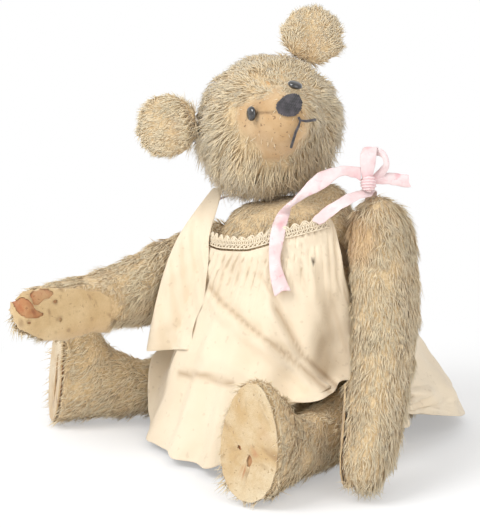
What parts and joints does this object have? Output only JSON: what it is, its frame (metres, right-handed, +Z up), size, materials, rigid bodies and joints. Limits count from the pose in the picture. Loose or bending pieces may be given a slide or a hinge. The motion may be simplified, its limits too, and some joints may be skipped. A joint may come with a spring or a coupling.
{
  "type": "teddy bear",
  "caption": "Seated, worn mohair teddy bear with disc-jointed head, arms and legs, felt pads and a gathered slip dress tied with ribbon.",
  "frame": {"origin": "middle of the flat seat under the torso, on the plane the bear sits on", "axes": "+Z up, -Y the way the bear faces, +X its left side"},
  "size_m": [0.3524, 0.3395, 0.3494],
  "materials": {
    "mohair": "matte, worn",
    "felt": "matte, moth-eaten",
    "rust_felt": "matte",
    "button": "glossy",
    "thread": "matte",
    "card": "matte",
    "steel": "dull",
    "cotton": "matte, yellowed",
    "lace": "matte",
    "ribbon": "satin"
  },
  "bodies": {
    "torso": {"torso": "mohair", "dress": "cotton", "neckline_lace": "lace", "back_lace": "lace", "bow_knot": "ribbon", "bow_upright_loop": "ribbon", "bow_side_loop": "ribbon", "bow_short_tail": "ribbon", "bow_long_tail": "ribbon", "left_shoulder_ribbon": "ribbon", "right_shoulder_ribbon": "ribbon", "right_shoulder_panel": "cotton", "neck_torso_disc": "card", "neck_pin": "steel", "left_shoulder_torso_disc": "card", "left_shoulder_pin": "steel", "right_shoulder_torso_disc": "card", "right_shoulder_pin": "steel", "left_hip_torso_disc": "card", "left_hip_pin": "steel", "right_hip_torso_disc": "card", "right_hip_pin": "steel"},
    "head": {"head": "mohair", "right_ear": "mohair", "left_ear": "mohair", "right_eye": "button", "left_eye": "button", "nose_stitching": "thread", "mouth_stitching": "thread", "neck_disc": "card"},
    "left_arm": {"left_arm": "mohair", "left_paw_pad_lining": "rust_felt", "left_paw_pad": "felt", "left_shoulder_disc": "card"},
    "right_arm": {"right_arm": "mohair", "right_paw_pad_lining": "rust_felt", "right_paw_pad": "felt", "right_shoulder_disc": "card"},
    "left_leg": {"left_leg": "mohair", "left_foot_pad_lining": "rust_felt", "left_foot_pad": "felt", "left_hip_disc": "card"},
    "right_leg": {"right_leg": "mohair", "right_foot_pad_lining": "rust_felt", "right_foot_pad": "felt", "right_hip_disc": "card"}
  },
  "joints": [
    {"name": "head_turn", "type": "hinge", "parent": "torso", "child": "head", "pos_m": [-0.01405, 0.01555, 0.2103], "axis": [-0.5301, -0.2044, 0.8229], "range_deg": [-60, 60]},
    {"name": "left_arm_turn", "type": "hinge", "parent": "torso", "child": "left_arm", "pos_m": [0.04634, 0, 0.16606], "axis": [0.9312, 0.1642, 0.3256], "range_deg": [-90, 15], "deforming": ["dress", "left_shoulder_ribbon"]},
    {"name": "right_arm_turn", "type": "hinge", "parent": "torso", "child": "right_arm", "pos_m": [-0.08851, 0, 0.13399], "axis": [-0.9912, 0.1217, 0.0523], "range_deg": [-10, 40], "deforming": ["dress", "right_shoulder_panel"]},
    {"name": "left_leg_turn", "type": "hinge", "parent": "torso", "child": "left_leg", "pos_m": [0.03296, 0.02968, 0.038], "axis": [0.9969, 0.0785, 0], "range_deg": [-5, 85], "deforming": ["dress"]},
    {"name": "right_leg_turn", "type": "hinge", "parent": "torso", "child": "right_leg", "pos_m": [-0.04215, 0.02926, 0.038], "axis": [-0.7986, 0.6018, 0], "range_deg": [-85, 0], "deforming": ["dress", "right_shoulder_panel"]}
  ]
}
